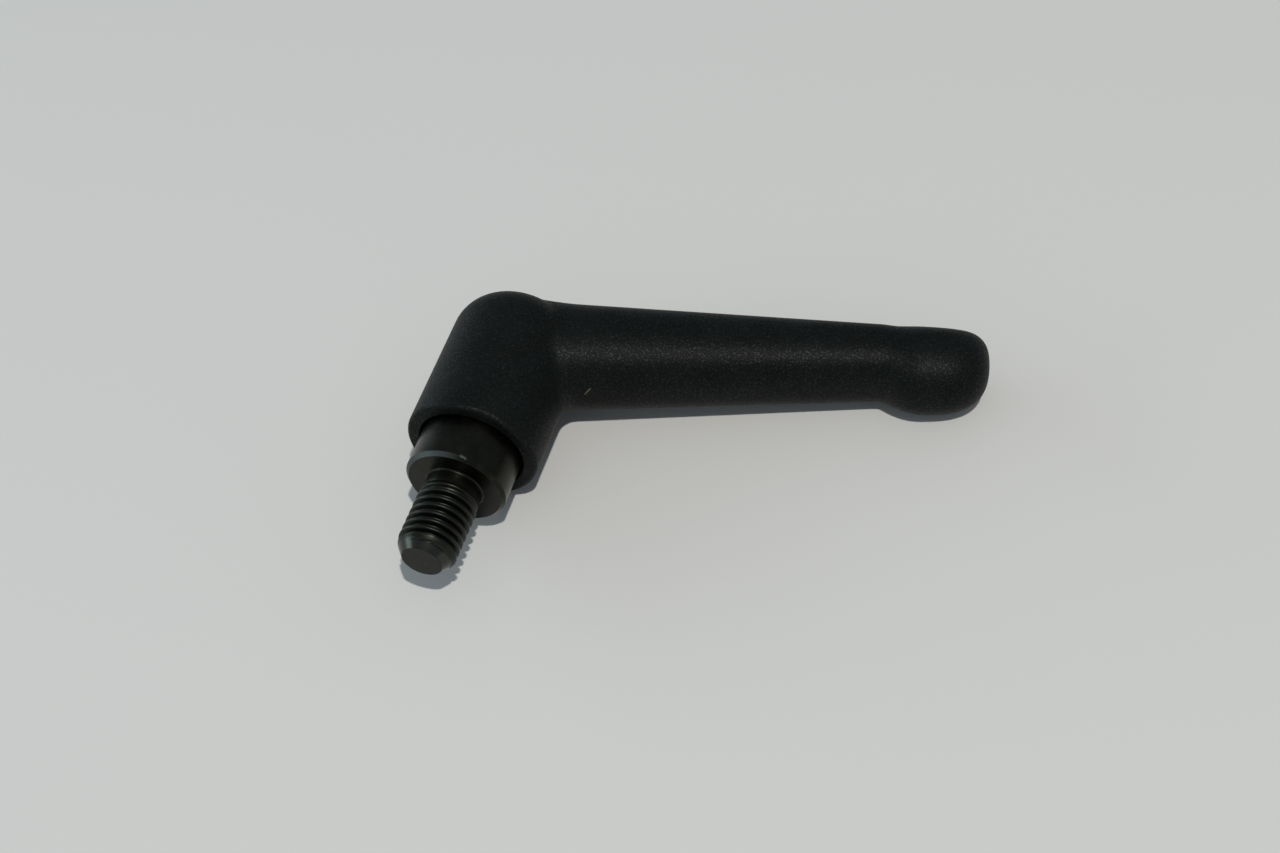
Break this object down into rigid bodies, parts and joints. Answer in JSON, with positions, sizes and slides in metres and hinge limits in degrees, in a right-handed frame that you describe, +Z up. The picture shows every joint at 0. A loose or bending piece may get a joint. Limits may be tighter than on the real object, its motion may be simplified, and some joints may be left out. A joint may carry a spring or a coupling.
{
  "type": "adjustable clamping lever",
  "caption": "Ratcheting clamp handle: black angled arm with thumb pad, round boss lifted against a spring to reset its position, and a blackened steel threaded stud with a collar.",
  "frame": {"origin": "centre of the insert's seat face, where the threaded stud leaves the collar, on the turning axis", "axes": "the stud points along -Y and the boss along +Y, the arm runs over +X, and +Z is up: the lever lies on its side as it comes to rest, on the boss and the thumb pad"},
  "size_m": [0.0885, 0.0678, 0.0226],
  "materials": {
    "textured_black_coating": "fine textured matt black powder coat on die-cast zinc",
    "blackened_steel": "turned steel, chemically blackened and oiled",
    "spring_steel": "drawn spring wire, lightly oiled",
    "blackened_screw": "chemically blackened steel"
  },
  "bodies": {
    "handle": {"lever_handle": "textured_black_coating"},
    "spring": {"compression_spring": "spring_steel"},
    "insert": {"threaded_insert": "blackened_steel", "retaining_screw": "blackened_screw"}
  },
  "joints": [
    {"name": "turn", "type": "hinge", "parent": "handle", "child": "spring", "pos_m": [0, 0, 0], "axis": [0, 1, 0], "continuous": true},
    {"name": "lift", "type": "slide", "parent": "spring", "child": "insert", "axis": [0, -1, 0], "range_m": [0, 0.0042], "stiffness_N_per_m": 1600, "springref_m": -0.0045, "deforming": ["compression_spring"]}
  ]
}
